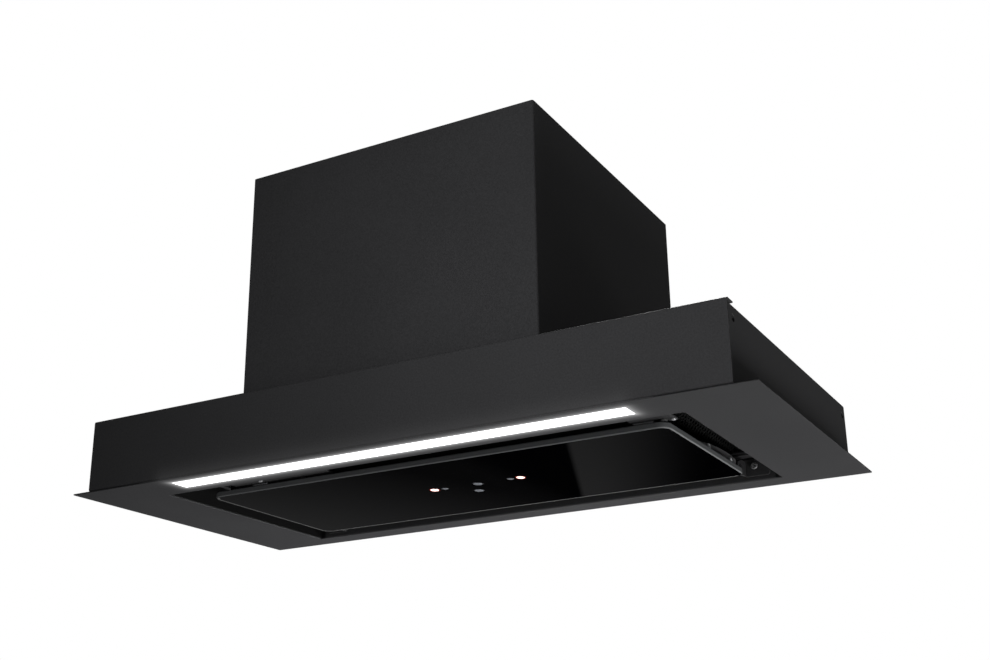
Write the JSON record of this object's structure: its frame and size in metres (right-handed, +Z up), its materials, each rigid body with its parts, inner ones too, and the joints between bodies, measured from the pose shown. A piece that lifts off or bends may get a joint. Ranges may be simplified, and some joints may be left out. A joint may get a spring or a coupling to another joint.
{
  "type": "built-in range hood",
  "caption": "Built-in canopy hood with a flat underside plate, perimeter-suction glass panel on a rear hinge, long light strip and a box-shaped blower housing with a round duct collar.",
  "frame": {"origin": "centre of the underside, level with the lower face of the flange and the glass", "axes": "+X to the right seen from the cook, the longest side; +Y to the wall; +Z up"},
  "size_m": [0.598, 0.281, 0.2904],
  "materials": {
    "powder_black": "fine-textured matte black powder coat",
    "plastic_black": "moulded, lightly grained",
    "plastic_grey": "moulded, satin",
    "galvanised": "galvanised sheet",
    "bright_steel": "zinc-plated",
    "bronze": "sintered bearing bronze",
    "aluminium": "mill finish",
    "aluminium_black": "black anodised",
    "rubber_black": "soft moulded",
    "black_glass": "opaque black glass, polished, ground edge",
    "circuit_board": "solder-masked board",
    "board_white": "white",
    "chip_yellow": "phosphor",
    "lamp_white": "opal diffuser, lit",
    "window_lit": "clear window, lit",
    "window_dim": "clear window, unlit"
  },
  "bodies": {
    "hood": {"bottom_plate": "powder_black", "front_panel": "powder_black", "side_panel_left": "powder_black", "side_panel_right": "powder_black", "rear_panel": "powder_black", "top_deck": "powder_black", "housing_shell": "powder_black", "housing_back": "powder_black", "housing_top": "powder_black", "catch_bracket_left": "powder_black", "catch_bracket_right": "powder_black", "filter_frame": "powder_black", "hinge_bracket_left": "powder_black", "hinge_bracket_right": "powder_black", "outlet_collar": "plastic_black", "scroll_left": "plastic_black", "scroll_right": "plastic_black", "control_box": "plastic_black", "control_lid": "plastic_black", "lamp_driver": "plastic_black", "capacitor": "plastic_grey", "cable_gland": "plastic_grey", "motor_body": "galvanised", "motor_bracket": "galvanised", "damper_pin": "bright_steel", "hinge_pins": "bright_steel", "latch_spring_left": "bright_steel", "latch_spring_right": "bright_steel", "shell_screws": "bright_steel", "motor_bearings": "bronze", "lamp_housing": "aluminium", "filter_rail_left": "aluminium_black", "filter_rail_right": "aluminium_black", "filter_mesh_left": "aluminium_black", "filter_mesh_right": "aluminium_black", "motor_bushes": "rubber_black", "panel_bumpers": "rubber_black", "sensor_cable": "rubber_black", "motor_lead": "rubber_black", "lamp_lead": "rubber_black", "control_board": "circuit_board", "lamp_board": "board_white", "terminal_block": "board_white", "lamp_chips": "chip_yellow", "lamp_diffuser": "lamp_white"},
    "panel": {"glass_pane": "black_glass", "panel_tray": "powder_black", "hinge_arm_left": "powder_black", "hinge_arm_right": "powder_black", "panel_magnets": "bright_steel", "sensor_board": "circuit_board", "sensor_windows_lit": "window_lit", "sensor_windows_dim": "window_dim", "hinge_screws": "bright_steel"},
    "rotor": {"impeller": "plastic_grey", "motor_shaft": "bright_steel"},
    "damper_left": {"damper_flap_left": "plastic_grey"},
    "damper_right": {"damper_flap_right": "plastic_grey"},
    "latch_left": {"filter_latch_left": "plastic_black"},
    "latch_right": {"filter_latch_right": "plastic_black"}
  },
  "joints": [
    {"name": "panel_hinge", "type": "hinge", "parent": "hood", "child": "panel", "pos_m": [0, 0.1025, 0.009], "axis": [1, 0, 0], "range_deg": [0, 90], "deforming": ["sensor_cable"]},
    {"name": "impeller_spin", "type": "hinge", "parent": "hood", "child": "rotor", "pos_m": [0, -0.02599, 0.16596], "axis": [1, 0, 0], "continuous": true},
    {"name": "damper_left_swing", "type": "hinge", "parent": "hood", "child": "damper_left", "pos_m": [0, 0.04634, 0.2655], "axis": [0, 1, 0], "range_deg": [0, 80]},
    {"name": "damper_right_swing", "type": "hinge", "parent": "hood", "child": "damper_right", "pos_m": [0, 0.04634, 0.2655], "axis": [0, -1, 0], "range_deg": [0, 80]},
    {"name": "latch_left_slide", "type": "slide", "parent": "hood", "child": "latch_left", "axis": [0, 1, 0], "range_m": [0, 0.006], "stiffness_N_per_m": 300, "springref_m": -0.004, "deforming": ["latch_spring_left"]},
    {"name": "latch_right_slide", "type": "slide", "parent": "hood", "child": "latch_right", "axis": [0, 1, 0], "range_m": [0, 0.006], "stiffness_N_per_m": 300, "springref_m": -0.004, "deforming": ["latch_spring_right"]}
  ]
}
